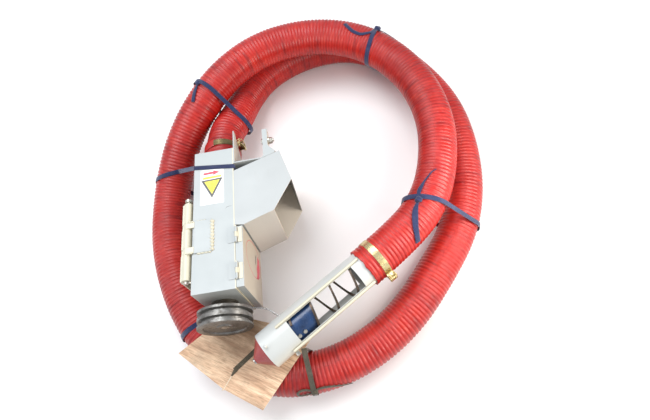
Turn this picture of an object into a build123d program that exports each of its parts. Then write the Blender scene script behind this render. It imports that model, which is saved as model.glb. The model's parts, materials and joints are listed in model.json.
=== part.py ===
from build123d import *
from math import cos, radians, sin, sqrt, tan
import os

os.makedirs("parts", exist_ok=True)

# Flexible-hose grain auger, coiled and tied for transport.  Millimetres, +Z up.
# Origin: on the floor under the centre of the coil's bounding box.

# ---- driving dimensions ------------------------------------------------------
HOSE_R = 80.0            # outer radius of the ribbed hose
HOSE_BORE = 72.0
TUBE_R = 71.7            # steel spigots that the hose slides over
TUBE_IN = 68.7
FLOOR_Z = 81.6           # centre height of a hose strand lying on its straps
STRAP_W = 20.0
STRAP_T = 1.2

BOX_W = 80.0             # half width of the drive head's casing
BOX_L = 620.0
BOX_D = 136.0            # half depth of the casing
WALL = 3.0
SHAFT_R = 15.0
PULLEY_R = 103.0

SPIRAL_PITCH = 95.0
SPIRAL_IN = 56.4
SPIRAL_OUT = 64.0
HUB_R = 56.0

# ---- frames --------------------------------------------------------------------
TILT = radians(6.75)     # the head leans down toward its hose end
HX = Vector(1, 0, 0)
HY = Vector(0, cos(TILT), -sin(TILT))
HZ = Vector(0, sin(TILT), cos(TILT))
HEAD = Plane(origin=(-388, -494.5, 271.7), x_dir=HX, z_dir=HZ)
HEAD_SIDE = Plane(origin=HEAD.origin, x_dir=HY, z_dir=HX)

REACH = Vector(0.8526, 0.5225, 0)        # the intake tube's direction
LEFT = Vector(-0.5225, 0.8526, 0)
INTAKE = Plane(origin=(-250.5, -687, 240), x_dir=REACH, z_dir=(0, 0, 1))
INTAKE_AXIS = Plane(origin=INTAKE.origin, x_dir=(0, 0, 1), z_dir=REACH)
INTAKE_SIDE = Plane(origin=INTAKE.origin, x_dir=REACH, z_dir=-LEFT)

AXIS_TURN = {"x": (0, 90, 0), "y": (90, 0, 0), "z": (0, 0, 0)}


def slab(x, y, z, mode=Mode.ADD):
    """A box between two limits along each local axis."""
    with Locations(((x[0] + x[1]) / 2, (y[0] + y[1]) / 2, (z[0] + z[1]) / 2)):
        Box(abs(x[1] - x[0]), abs(y[1] - y[0]), abs(z[1] - z[0]), mode=mode)


def rod(at, radius, length, axis, mode=Mode.ADD):
    """A cylinder centred on a point, along one local axis."""
    with Locations(at):
        Cylinder(radius, length, rotation=AXIS_TURN[axis], mode=mode)


def pipe(at, outer, inner, length, axis):
    rod(at, outer, length, axis)
    rod(at, inner, length + 1, axis, Mode.SUBTRACT)


def hex_prism(plane, across, height):
    """A hexagonal nut or bolt head, standing on a plane."""
    with BuildPart() as block:
        with BuildSketch(plane):
            RegularPolygon(across / sqrt(3), 6)
        extrude(amount=height)
    return block.part


boxes = []


def save(piece, name):
    piece.part.label = name
    export_step(piece.part, f"parts/{name}.step")
    boxes.append(piece.part.bounding_box())


# ---- the hose's route ------------------------------------------------------------
# From the drive head's spigot, twice round the coil, to the intake tube.
HOSE_START = 626.0
HOSE_END = 475.0


def head_point(y):
    return tuple(HEAD.origin + HY * y)


def intake_point(s):
    return tuple(INTAKE.origin + REACH * s)


ROUTE = [
    head_point(HOSE_START),
    head_point(800),
    (-328, 425, 134),
    (-278, 570, 93),
    (-183, 695, FLOOR_Z),
    (-33, 775, FLOOR_Z),
    (142, 811, FLOOR_Z + 0.5),
    (317, 790, FLOOR_Z),
    (472, 685, FLOOR_Z),
    (592, 520, FLOOR_Z),
    (677, 320, FLOOR_Z),
    (692, 105, FLOOR_Z),
    (662, -110, FLOOR_Z),
    (587, -295, FLOOR_Z),
    (457, -455, FLOOR_Z),
    (292, -625, FLOOR_Z),
    (117, -730, FLOOR_Z),
    (-58, -780, FLOOR_Z),
    (-228, -780, FLOOR_Z),
    (-388, -715, FLOOR_Z),
    (-528, -595, FLOOR_Z),
    (-628, -410, FLOOR_Z),
    (-688, -175, FLOOR_Z),
    (-683, 75, FLOOR_Z),
    (-603, 275, 165),
    (-483, 435, 238),
    (-338, 585, 270),
    (-153, 705, 268),
    (62, 745, 255),
    (267, 695, 249),
    (427, 570, 247),
    (537, 380, 247),
    (572, 165, 247),
    (537, -35, 245),
    (462, -205, 243),
    intake_point(685),
    intake_point(HOSE_END),
]


def bend_radii(points, share=0.45):
    """The largest tangent arcs that the runs beside each corner leave room for."""
    spots = [Vector(*p) for p in points]
    radii = []
    for a, b, c in zip(spots, spots[1:], spots[2:]):
        turn = radians((b - a).get_angle(c - b))
        radii.append(share * min((b - a).length, (c - b).length) / tan(turn / 2))
    return radii


HOSE_RADII = bend_radii(ROUTE)
print("hose bend radii", [round(r) for r in HOSE_RADII])

with BuildLine() as hose_line:
    FilletPolyline(*ROUTE, radius=HOSE_RADII)
HOSE_WIRE = hose_line.wire()
HOSE_LENGTH = HOSE_WIRE.length
print("hose length", round(HOSE_LENGTH))
HOSE_TRACK = [HOSE_WIRE.position_at(i / 2400) for i in range(2401)]

with BuildPart() as hose:
    with BuildSketch(Plane(origin=ROUTE[0], z_dir=HY)):
        Circle(HOSE_R)
        Circle(HOSE_BORE, mode=Mode.SUBTRACT)
    sweep(path=HOSE_WIRE)
section = 3.14159265 * (HOSE_R**2 - HOSE_BORE**2)
print("hose volume", round(hose.part.volume), "section times length", round(section * HOSE_LENGTH))
save(hose, "hose")

# ---- drive head: casing ------------------------------------------------------------
# Local axes: x to the discharge side, y from the pulley end to the hose, z to the front.
with BuildPart(HEAD) as casing_shell:
    slab((-BOX_W, BOX_W), (0, BOX_L), (-BOX_D, BOX_D))
    slab((3 - BOX_W, BOX_W - 3), (WALL, BOX_L - WALL), (WALL - BOX_D, BOX_D - WALL), Mode.SUBTRACT)
    rod((0, 0, 0), 22, 20, "y", Mode.SUBTRACT)
    rod((0, BOX_L, 0), TUBE_R + 0.05, 20, "y", Mode.SUBTRACT)
    slab((70, 90), (14, 234), (-122, 122), Mode.SUBTRACT)
    slab((70, 90), (262, 500), (-130, 130), Mode.SUBTRACT)
save(casing_shell, "casing_shell")

with BuildPart(HEAD) as side_frame:
    slab((BOX_W, BOX_W + 4), (0, BOX_L), (-BOX_D, BOX_D))
    slab((70, 90), (16, 232), (-120, 120), Mode.SUBTRACT)
    slab((70, 90), (262, 500), (-130, 130), Mode.SUBTRACT)
save(side_frame, "side_frame")

with BuildPart(HEAD) as hose_spigot:
    rod((0, 674.5, 0), TUBE_R, 121, "y")
    slab((-77, 77), (BOX_L, BOX_L + 3), (-90, 90))
    rod((0, 702, 0), TUBE_IN, 200, "y", Mode.SUBTRACT)
save(hose_spigot, "hose_spigot")

# Discharge hood: bent sheet, open to the casing and along its mouth.
HOOD = [(84.2, 502.4), (278, 566), (317, 417), (238, 289), (180, 270), (119, 248), (84.2, 253.5)]
HOOD_VOID = [
    (80, 498.4), (276, 562.8), (314.2, 417.4), (325, 412), (250, 284), (237.4, 292.2),
    (179, 273.2), (118.8, 251.6), (80, 257.6),
]
with BuildPart() as discharge_chute:
    with BuildSketch(HEAD.offset(-BOX_D)):
        Polygon(*HOOD, align=None)
    extrude(amount=2 * BOX_D)
    with BuildSketch(HEAD.offset(2.5 - BOX_D)):
        Polygon(*HOOD_VOID, align=None)
    extrude(amount=2 * BOX_D - 5, mode=Mode.SUBTRACT)
save(discharge_chute, "discharge_chute")

# Lifting and support ears above the hood.
EAR_BASE = [(84.2, 541), (200, 541), (204.5, 546), (84.2, 546)]
EAR_ARM = [
    (196, 541), (200, 541.2), (211, 545.5), (232, 552.2), (256, 560), (262, 568), (240, 592),
    (232, 604), (232, 692), (211, 692), (211, 556), (204.5, 546), (196, 546),
]
EAR_PLATE = [(541, -85), (562, -85), (690, 96), (711, 112), (711, BOX_D), (541, BOX_D)]
with BuildPart(HEAD) as ear_bracket:
    with BuildSketch(HEAD.offset(-85)):
        Polygon(*EAR_BASE, align=None)
    extrude(amount=BOX_D + 85)
    with BuildSketch(HEAD.offset(98)):
        Polygon(*EAR_ARM, align=None)
    extrude(amount=BOX_D - 98)
    with BuildSketch(HEAD_SIDE.offset(84.2)):
        Polygon(*EAR_PLATE, align=None)
    extrude(amount=4)
    rod((86, 640, 117), 8.5, 20, "x", Mode.SUBTRACT)
    rod((221, 640, 117), 7.1, 40, "x", Mode.SUBTRACT)
save(ear_bracket, "ear_bracket")

EAR_BOLT_AT = Plane(origin=(203.8, 640, 117), z_dir=(1, 0, 0))
EAR_NUT_AT = Plane(origin=(238, 640, 117), z_dir=(1, 0, 0))
EAR_WASHER_X = 235.0
with BuildPart(HEAD) as ear_bolt:
    rod((234, 640, 117), 7.0, 46, "x")
    add(hex_prism(EAR_BOLT_AT, 22, 7.2))
save(ear_bolt, "ear_bolt")

with BuildPart(HEAD) as ear_washer:
    pipe((EAR_WASHER_X, 640, 117), 15, 7.1, 5.8, "x")
save(ear_washer, "ear_washer")

with BuildPart(HEAD) as ear_nut:
    add(hex_prism(EAR_NUT_AT, 24, 13))
    rod((245, 640, 117), 7.05, 40, "x", Mode.SUBTRACT)
save(ear_nut, "ear_nut")

# ---- drive head: access door on two barrel hinges --------------------------------------
DOOR_Y = (4.0, 244.0)
with BuildPart(HEAD) as access_door:
    slab((85.2, 113), DOOR_Y, (-BOX_D, BOX_D))
    slab((80, 111), (DOOR_Y[0] + 2, DOOR_Y[1] - 2), (2 - BOX_D, BOX_D - 2), Mode.SUBTRACT)
save(access_door, "access_door")

HINGE_X, HINGE_Z = 89.0, 142.6
BARREL_R = 5.4
DOOR_PIN_R = 3.0


def door_leaf(y0, y1):
    """The moving middle knuckle and its leaf on the door's front rim."""
    third = (y1 - y0) / 3
    slab((95.2, 110), (y0, y1), (BOX_D, BOX_D + 2.5))
    slab((91, 97), (y0 + third, y1 - third), (BOX_D, HINGE_Z))
    slab((86.5, 91), (y0 + third, y1 - third), (BOX_D + 2, HINGE_Z))
    rod((HINGE_X, (y0 + y1) / 2, HINGE_Z), BARREL_R, third, "y")
    rod((HINGE_X, (y0 + y1) / 2, HINGE_Z), DOOR_PIN_R + 0.06, 90, "y", Mode.SUBTRACT)


def casing_leaf(y0, y1):
    """The two fixed knuckles and their leaf on the casing's front face."""
    third = (y1 - y0) / 3
    slab((58, 84), (y0, y1), (BOX_D, BOX_D + 2.5))
    for a, b in ((y0, y0 + third - 0.6), (y1 - third + 0.6, y1)):
        slab((80, 86), (a, b), (BOX_D + 0.6, HINGE_Z))
        rod((HINGE_X, (a + b) / 2, HINGE_Z), BARREL_R, b - a, "y")
    rod((HINGE_X, (y0 + y1) / 2, HINGE_Z), DOOR_PIN_R + 0.02, 90, "y", Mode.SUBTRACT)


HINGES = {"near": (34.0, 95.0), "far": (178.0, 239.0)}
with BuildPart(HEAD) as door_leaves:
    for reach in HINGES.values():
        door_leaf(*reach)
save(door_leaves, "door_leaves")

with BuildPart(HEAD) as casing_leaves:
    for reach in HINGES.values():
        casing_leaf(*reach)
save(casing_leaves, "casing_leaves")

with BuildPart(HEAD) as door_hinge_pins:
    for y0, y1 in HINGES.values():
        rod((HINGE_X, (y0 + y1) / 2, HINGE_Z), DOOR_PIN_R, y1 - y0 + 4, "y")
        rod((HINGE_X, y1 + 2.8, HINGE_Z), DOOR_PIN_R + 1.4, 3.6, "y")
save(door_hinge_pins, "door_hinge_pins")

# Hook latch behind the door's rear edge, hanging open: it swings up round the door's edge.
LATCH_X, LATCH_Z = 66.0, -146.0
with BuildPart(HEAD) as latch_bracket:
    slab((50, 78), (104, 146), (-BOX_D - 3, -BOX_D))
    for y in (107, 143):
        slab((58, 74), (y - 3, y + 3), (LATCH_Z - 8, -BOX_D))
    rod((LATCH_X, 125, LATCH_Z), 3.05, 60, "y", Mode.SUBTRACT)
save(latch_bracket, "latch_bracket")

with BuildPart(HEAD) as latch_pin:
    rod((LATCH_X, 125, LATCH_Z), 3.0, 46, "y")
    rod((LATCH_X, 101.5, LATCH_Z), 4.6, 3, "y")
save(latch_pin, "latch_pin")

with BuildPart(HEAD) as door_latch:
    rod((LATCH_X, 125, LATCH_Z), 6.5, 28, "y")
    slab((LATCH_X - 2.5, LATCH_X + 2.5), (113, 137), (LATCH_Z - 53, LATCH_Z))
    slab((LATCH_X - 2.5, LATCH_X + 24), (113, 137), (LATCH_Z - 53, LATCH_Z - 48))
    slab((LATCH_X - 2.5, LATCH_X + 1.5), (118, 132), (LATCH_Z - 65, LATCH_Z - 53))
    rod((LATCH_X, 125, LATCH_Z), 3.08, 60, "y", Mode.SUBTRACT)
save(door_latch, "door_latch")

# ---- drive head: hinged motor mount ------------------------------------------------------
ROD_X, ROD_Z = -104.0, 122.0
ROD_R = 8.0
ARMS = ((160.5, 185.5), (266.5, 291.5))
with BuildPart(HEAD) as mount_plate:
    slab((-72, -4), (158, 293), (BOX_D, BOX_D + 6))
    chamfer(mount_plate.faces().sort_by(Axis(HEAD.origin, HZ))[-1].edges(), 1.2)
save(mount_plate, "mount_plate")

with BuildPart(HEAD) as mount_arms:
    for y0, y1 in ARMS:
        rod((ROD_X, (y0 + y1) / 2, ROD_Z), 16.5, y1 - y0, "y")
        slab((ROD_X, -72), (y0, y1), (BOX_D + 0.4, BOX_D + 6))
        slab((ROD_X, -82), (y0, y1), (ROD_Z, BOX_D + 6))
    rod((ROD_X, 225, ROD_Z), ROD_R + 0.04, 300, "y", Mode.SUBTRACT)
save(mount_arms, "mount_arms")

RAIL_RUNS = ((60.0, 160.0), (186.0, 266.0), (292.0, 381.0))
with BuildPart(HEAD) as motor_rail:
    slab((-126, -120.9), (60, 381), (-60, ROD_Z))
    slab((-126, -96), (60, 381), (-60, -55))
    for y0, y1 in RAIL_RUNS:
        rod((ROD_X, (y0 + y1) / 2, ROD_Z), 17.0, y1 - y0, "y")
        slab((-126, -112), (y0, y1), (104, ROD_Z + 4))
    rod((ROD_X, 225, ROD_Z), ROD_R + 0.08, 400, "y", Mode.SUBTRACT)
    for y in (160, 280):
        for z in (-38, 82):
            rod((-123, y, z), 5.5, 20, "x", Mode.SUBTRACT)
save(motor_rail, "motor_rail")

with BuildPart(HEAD) as mount_hinge_rod:
    rod((ROD_X, 221, ROD_Z), ROD_R, 342, "y")
    rod((ROD_X, 397, ROD_Z), 14, 10, "y")
    rod((ROD_X, 54, ROD_Z), 1.7, 40, "x", Mode.SUBTRACT)
save(mount_hinge_rod, "mount_hinge_rod")

with BuildPart(HEAD) as rod_clip:
    rod((ROD_X, 54, ROD_Z), 1.6, 32, "x")
    slab((ROD_X + 14, ROD_X + 17), (52, 56), (ROD_Z - 8, ROD_Z + 2))
save(rod_clip, "rod_clip")

# ---- drive head: bearing, shaft and pulley -------------------------------------------------
with BuildPart(HEAD) as bearing_housing:
    rod((0, -4, 0), 50, 8, "y")
    rod((0, -14, 0), 46, 28, "y")
    rod((0, -13, 0), 31.05, 26, "y", Mode.SUBTRACT)
    rod((0, -14, 0), 22, 60, "y", Mode.SUBTRACT)
    for a in (45, 135, 225, 315):
        rod((39 * cos(radians(a)), -14, 39 * sin(radians(a))), 3.2, 60, "y", Mode.SUBTRACT)
save(bearing_housing, "bearing_housing")

with BuildPart(HEAD) as housing_bolts:
    for a in (45, 135, 225, 315):
        x, z = 39 * cos(radians(a)), 39 * sin(radians(a))
        rod((x, -14, z), 3.0, 28, "y")
        rod((x, -30, z), 5.2, 4, "y")
save(housing_bolts, "housing_bolts")

BALL_PITCH = 23.0
BALL_Y = -18.0


def race_groove():
    with Locations((0, BALL_Y, 0)):
        Torus(BALL_PITCH, 4.6, rotation=(90, 0, 0), mode=Mode.SUBTRACT)


with BuildPart(HEAD) as bearing_outer_race:
    pipe((0, BALL_Y, 0), 31, 26, 16, "y")
    race_groove()
save(bearing_outer_race, "bearing_outer_race")

with BuildPart(HEAD) as bearing_inner_race:
    pipe((0, BALL_Y, 0), 20, SHAFT_R + 0.05, 16, "y")
    race_groove()
save(bearing_inner_race, "bearing_inner_race")

with BuildPart(HEAD) as bearing_balls:
    for i in range(9):
        a = radians(40 * i)
        with Locations((BALL_PITCH * cos(a), BALL_Y, BALL_PITCH * sin(a))):
            Sphere(4.4)
save(bearing_balls, "bearing_balls")

with BuildPart(HEAD) as bearing_seal:
    pipe((0, -5, 0), 30.9, 16.0, 9, "y")
save(bearing_seal, "bearing_seal")

with BuildPart(HEAD) as drive_shaft:
    rod((0, 242, 0), SHAFT_R, 672, "y")
    slab((-4, 4), (-90, -50), (11, 20), Mode.SUBTRACT)
save(drive_shaft, "drive_shaft")

with BuildPart(HEAD) as shaft_key:
    slab((-3.9, 3.9), (-89, -51), (11.1, 18))
save(shaft_key, "shaft_key")

PULLEY_PROFILE = [
    (-96.5, PULLEY_R), (-88, PULLEY_R), (-84, 89), (-76, 89), (-72, PULLEY_R),
    (-59, PULLEY_R), (-55, 89), (-47, 89), (-43, PULLEY_R), (-34, PULLEY_R),
    (-34, 82), (-78, 80), (-78, 32), (-38, 30), (-38, 15.05),
    (-94, 15.05), (-94, 30), (-91, 32), (-91, 78), (-96.5, 82),
]
with BuildPart() as drive_pulley:
    with BuildSketch(HEAD_SIDE):
        Polygon(*PULLEY_PROFILE, align=None)
    revolve(axis=Axis(HEAD.origin, HY))
with BuildPart(HEAD) as pulley_cuts:
    slab((-4, 4), (-95, -37), (10, 18.2))
    rod((0, -44, -25), 3.1, 30, "z")
with BuildPart() as drive_pulley_cut:
    add(drive_pulley.part)
    add(pulley_cuts.part, mode=Mode.SUBTRACT)
save(drive_pulley_cut, "drive_pulley")

with BuildPart(HEAD) as pulley_set_screw:
    rod((0, -44, -22), 3.0, 13.6, "z")
save(pulley_set_screw, "pulley_set_screw")

# Thrower paddles push the grain out through the hood.
with BuildPart(HEAD) as thrower_paddles:
    rod((0, 385, 0), 24, 210, "y")
    slab((-66, 66), (285, 480), (-2.5, 2.5))
    slab((-2.5, 2.5), (285, 480), (-66, 66))
    rod((0, 385, 0), SHAFT_R + 0.05, 300, "y", Mode.SUBTRACT)
save(thrower_paddles, "thrower_paddles")

# The head end of the conveying spiral, on its driving drum.
with BuildPart(HEAD) as head_drum:
    rod((0, 590, 0), HUB_R, 80, "y")
    rod((0, 595, 0), HUB_R - 3, 80, "y", Mode.SUBTRACT)
    rod((0, 563, 0), 24, 26, "y")
    rod((0, 570, 0), SHAFT_R + 0.05, 100, "y", Mode.SUBTRACT)
    rod((0, 565, 0), 4.1, 60, "x", Mode.SUBTRACT)
save(head_drum, "head_drum")

with BuildPart(HEAD) as drum_cross_bolt:
    rod((19.7, 565, 0), 4.0, 9, "x")
    rod((-19.7, 565, 0), 4.0, 9, "x")
    for x in (27, -27):
        rod((x, 565, 0), 6.5, 5.8, "x")
save(drum_cross_bolt, "drum_cross_bolts")

SPIRAL_W = SPIRAL_OUT - SPIRAL_IN
SPIRAL_MID = (SPIRAL_OUT + SPIRAL_IN) / 2
HEAD_SPIRAL_AT = Plane(origin=HEAD.from_local_coords((0, 582, 0)), x_dir=HZ, z_dir=HY)


def spiral_bar(length):
    """A left-hand flat-bar spiral about Z, from z = 0."""
    with BuildPart() as bar:
        with BuildLine() as helix:
            Helix(SPIRAL_PITCH, length, SPIRAL_MID, lefthand=True)
        with BuildSketch(Plane(origin=helix.line @ 0, x_dir=(1, 0, 0), z_dir=helix.line % 0)):
            Rectangle(SPIRAL_W, 8)
        sweep(is_frenet=True)
    return bar.part


with BuildPart(HEAD_SPIRAL_AT) as head_spiral:
    add(spiral_bar(180))
save(head_spiral, "head_spiral")

# ---- hose clamps -------------------------------------------------------------------------------
# Local axes: z along the hose, x toward the bolt, y along the bolt.
CLAMP_DIR = HX * cos(radians(16)) + HZ * sin(radians(16))
HEAD_CLAMP = Plane(origin=HEAD.from_local_coords((0, 714, 0)), x_dir=CLAMP_DIR, z_dir=HY)
CLAMP_DIR_2 = -LEFT * cos(radians(8)) + Vector(0, 0, 1) * sin(radians(8))
INTAKE_CLAMP = Plane(origin=INTAKE.from_local_coords((530, 0, 0)), x_dir=CLAMP_DIR_2, z_dir=REACH)


def clamp_band():
    Cylinder(HOSE_R + 2.1, 28)
    Cylinder(HOSE_R + 0.4, 30, mode=Mode.SUBTRACT)
    slab((70, 90), (-9, 9), (-20, 20), Mode.SUBTRACT)
    for side in (-1, 1):
        slab((81, 108), (side * 9, side * 13), (-14, 14))
    rod((96, 0, 0), 4.8, 60, "y", Mode.SUBTRACT)


def clamp_bolt():
    rod((96, 2, 0), 4.5, 64, "y")
    rod((96, -18.2, 0), 5.2, 30, "z")


def clamp_nut():
    rod((96, 15, 0), 9, 4, "y")
    rod((96, 21, 0), 7.6, 8, "y")
    rod((96, 18, 0), 4.55, 40, "y", Mode.SUBTRACT)


with BuildPart(HEAD_CLAMP) as head_clamp_band:
    clamp_band()
save(head_clamp_band, "head_clamp_band")

with BuildPart(HEAD_CLAMP) as head_clamp_bolt:
    clamp_bolt()
save(head_clamp_bolt, "head_clamp_bolt")

with BuildPart(HEAD_CLAMP) as head_clamp_nut:
    clamp_nut()
save(head_clamp_nut, "head_clamp_nut")

with BuildPart(INTAKE_CLAMP) as intake_clamp_band:
    clamp_band()
save(intake_clamp_band, "intake_clamp_band")

with BuildPart(INTAKE_CLAMP) as intake_clamp_bolt:
    clamp_bolt()
save(intake_clamp_bolt, "intake_clamp_bolt")

with BuildPart(INTAKE_CLAMP) as intake_clamp_nut:
    clamp_nut()
save(intake_clamp_nut, "intake_clamp_nut")

# ---- intake end ----------------------------------------------------------------------------------
# Local axes of INTAKE: x along the tube, y to its left, z up.
WINDOW = (122.0, 428.0)
WINDOW_MID = 21.0        # degrees from the top toward the right side
WINDOW_HALF = 41.0


def around(angle, radius):
    """A point across the tube, as (up, right) for INTAKE_AXIS."""
    return (radius * cos(radians(angle)), radius * sin(radians(angle)))


with BuildPart() as intake_tube:
    with BuildSketch(INTAKE_AXIS):
        Circle(TUBE_R)
        Circle(TUBE_IN, mode=Mode.SUBTRACT)
    extrude(amount=600)
    with BuildSketch(INTAKE_AXIS.offset(WINDOW[0])):
        for turn in (0, 180):
            a0 = WINDOW_MID - WINDOW_HALF + turn
            a1 = WINDOW_MID + WINDOW_HALF + turn
            Polygon((0, 0), around(a0, 130), around(a1, 130), align=None)
    extrude(amount=WINDOW[1] - WINDOW[0], mode=Mode.SUBTRACT)
save(intake_tube, "intake_tube")

RAIL_AT = TUBE_R + 5.1
with BuildPart() as window_rails:
    with BuildSketch(INTAKE_AXIS.offset(79)):
        for a in (-24, 66, 246):
            with Locations(around(a, RAIL_AT)):
                Circle(5)
    extrude(amount=387)
    with BuildSketch(INTAKE_AXIS.offset(195)):
        with Locations(around(156, RAIL_AT)):
            Circle(5)
    extrude(amount=271)
save(window_rails, "window_rails")

NOSE_PROFILE = [
    (14, 68.4), (0, 68.4), (-52, 13.5), (-52, 12.05), (-18, 12.05), (-18, 16),
    (-46.5, 16), (0, 64.5), (14, 64.5),
]
with BuildPart() as nose_cone:
    with BuildSketch(INTAKE_SIDE):
        Polygon(*NOSE_PROFILE, align=None)
    revolve(axis=Axis(INTAKE.origin, REACH))
save(nose_cone, "nose_cone")

with BuildPart(INTAKE) as nose_bush:
    pipe((-35, 0, 0), 12, 8.06, 32, "x")
save(nose_bush, "nose_bush")

with BuildPart(INTAKE) as nose_stub:
    rod((-12, 0, 0), 8, 84, "x")
    rod((18, 0, 0), 16, 8, "x")
    rod((-56, 0, 0), 11, 5, "x")
save(nose_stub, "nose_stub")

# The blue drum that carries the intake end of the spiral; its far end is cut askew.
with BuildPart(INTAKE) as spiral_hub:
    rod((132, 0, 0), HUB_R, 220, "x")
    rod((146, 0, 0), HUB_R - 3, 240, "x", Mode.SUBTRACT)
    rod((20, 0, 0), 8.05, 30, "x", Mode.SUBTRACT)
    with BuildSketch(INTAKE.offset(-90)):
        Polygon((203, -70), (243, 70), (320, 70), (320, -70), align=None)
    extrude(amount=180, mode=Mode.SUBTRACT)
HUB_BOLT_ANGLE = 48.0
HUB_BOLT_AT = Plane(
    origin=INTAKE.origin,
    x_dir=Vector(0, 0, 1) * cos(radians(HUB_BOLT_ANGLE)) - LEFT * sin(radians(HUB_BOLT_ANGLE)),
    z_dir=REACH,
)
with BuildPart(HUB_BOLT_AT) as hub_bolt_holes:
    for s in (129, 154):
        rod((50, 0, s), 4.2, 20, "x")
with BuildPart() as spiral_hub_cut:
    add(spiral_hub.part)
    add(hub_bolt_holes.part, mode=Mode.SUBTRACT)
save(spiral_hub_cut, "spiral_hub")

with BuildPart(HUB_BOLT_AT) as hub_bolts:
    for s in (129, 154):
        rod((51, 0, s), 4.0, 12, "x")
        rod((59, 0, s), 7.2, 5, "x")
save(hub_bolts, "hub_bolts")

SPIRAL_START = 128.0
with BuildPart(INTAKE_AXIS.offset(SPIRAL_START)) as intake_spiral:
    add(spiral_bar(474))
save(intake_spiral, "intake_spiral")

# Small pieces on the tube: a stop knob at the rim, a hooking lug, a lip tab.
with BuildPart(INTAKE) as tube_fittings:
    rod((14, 0, TUBE_R + 5), 4, 9.8, "z")
    with Locations((14, 0, TUBE_R + 11)):
        Sphere(6.5)
    slab((78, 92), (-88, -72.2), (-4, 4))
    slab((78, 83), (-88, -78), (-4, 12))
save(tube_fittings, "tube_fittings")

# ---- ties ---------------------------------------------------------------------------------------------
def crossing(near, plane):
    """The hose's centre where a plane cuts it closest to a point, and its direction there."""
    best = None
    for a, b in zip(HOSE_TRACK, HOSE_TRACK[1:]):
        da = (a - plane.origin).dot(plane.z_dir)
        db = (b - plane.origin).dot(plane.z_dir)
        if da * db <= 0 and abs(da - db) > 1e-9:
            spot = a + (b - a) * (da / (da - db))
            if best is None or (spot - near).length < (best[0] - near).length:
                best = (spot, (b - a).normalized())
    return best


def strap_plane(near, heading):
    """An upright plane across the hose; heading is its normal's compass angle."""
    normal = Vector(cos(radians(heading)), sin(radians(heading)), 0)
    return Plane(origin=near, x_dir=Vector(0, 0, 1).cross(normal), z_dir=normal)


def strand(plane, near, gap=0.35, slack=1.0):
    """The hose's outline in a strap's plane, with the width that its skew needs."""
    spot, run = crossing(Vector(*near), plane)
    local = plane.to_local_coords(spot)
    flat = Vector(run.X, run.Y, 0).normalized()
    skew = abs(flat.dot(plane.z_dir))
    climb = abs(run.Z)
    side = HOSE_R / skew + STRAP_W / 2 * sqrt(max(0, 1 / skew**2 - 1)) + gap + slack
    tall = HOSE_R / sqrt(1 - climb**2) + STRAP_W / 2 * climb + gap
    return (local.X, local.Y, side, tall)


def hull_of(outlines, extra):
    with BuildSketch() as hull:
        for u, v, a, b in outlines:
            with Locations((u, v)):
                Ellipse(a + extra, b + extra)
        make_hull()
    return hull.sketch


def strap_face(outlines):
    outer = hull_of(outlines, STRAP_T)
    inner = hull_of(outlines, 0)
    with BuildSketch() as face:
        add(outer)
        add(inner, mode=Mode.SUBTRACT)
    return face.sketch


AT_A = strap_plane((-355, 440, 0), 47)
FACE_A = strap_face([strand(AT_A, (-310, 400, 140), 6.0), strand(AT_A, (-420, 500, 254), 4.5)])
with BuildPart() as strap_left_rear:
    with BuildSketch(AT_A):
        add(FACE_A)
    extrude(amount=STRAP_W / 2, both=True)
save(strap_left_rear, "strap_left_rear")

AT_B = strap_plane((365, 590, 0), -30)
FACE_B = strap_face([strand(AT_B, (370, 610, 248), 1.0), strand(AT_B, (430, 705, 81))])
with BuildPart() as strap_right_rear:
    with BuildSketch(AT_B):
        add(FACE_B)
    extrude(amount=STRAP_W / 2, both=True)
save(strap_right_rear, "strap_right_rear")

AT_C = strap_plane((500, -246, 0), 71)
FACE_C = strap_face([strand(AT_C, (430, -222, 242), 2.2, 2.5), strand(AT_C, (600, -280, 81), 0.38, 3.0)])
with BuildPart() as strap_right:
    with BuildSketch(AT_C):
        add(FACE_C)
    extrude(amount=STRAP_W / 2, both=True)
save(strap_right, "strap_right")

AT_E = strap_plane((-560, -545, 0), 115)
FACE_E = strap_face([strand(AT_E, (-560, -545, 81), 0.35)])
with BuildPart() as strap_left_front:
    with BuildSketch(AT_E):
        add(FACE_E)
    extrude(amount=STRAP_W / 2, both=True)
save(strap_left_front, "strap_left_front")

# Round the head's casing and the outer strand, square to the casing's front face.
BOX_STRAP_TURN = radians(8)
BOX_STRAP_N = HY * cos(BOX_STRAP_TURN) + HX * sin(BOX_STRAP_TURN)
AT_D = Plane(
    origin=HEAD.from_local_coords((0, 536, 0)),
    x_dir=HX * cos(BOX_STRAP_TURN) - HY * sin(BOX_STRAP_TURN),
    z_dir=BOX_STRAP_N,
)
CORNER_U = (BOX_W + 6) / cos(BOX_STRAP_TURN)
FACE_D = strap_face(
    [strand(AT_D, (-685, 90, 90), 3.0)]
    + [(u, v, 1, 1) for u in (-CORNER_U, CORNER_U + 1) for v in (-BOX_D + 0.6, BOX_D - 0.6)]
)
with BuildPart() as strap_head:
    with BuildSketch(AT_D):
        add(FACE_D)
    extrude(amount=STRAP_W / 2, both=True)
save(strap_head, "strap_head")

# Round the strand below the intake tube, and up to the near end of the tube's rail.
AT_F = strap_plane((-111, -750, 0), 0)
LOOP_TOP = AT_F.to_local_coords(Vector(-111, -702, 262))
FACE_F = strap_face([strand(AT_F, (-111, -785, 81)), (LOOP_TOP.X, LOOP_TOP.Y, 2.5, 2.5)])
with BuildPart() as strap_intake:
    with BuildSketch(AT_F):
        add(FACE_F)
    extrude(amount=STRAP_W / 2, both=True)
save(strap_intake, "strap_intake")

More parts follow.
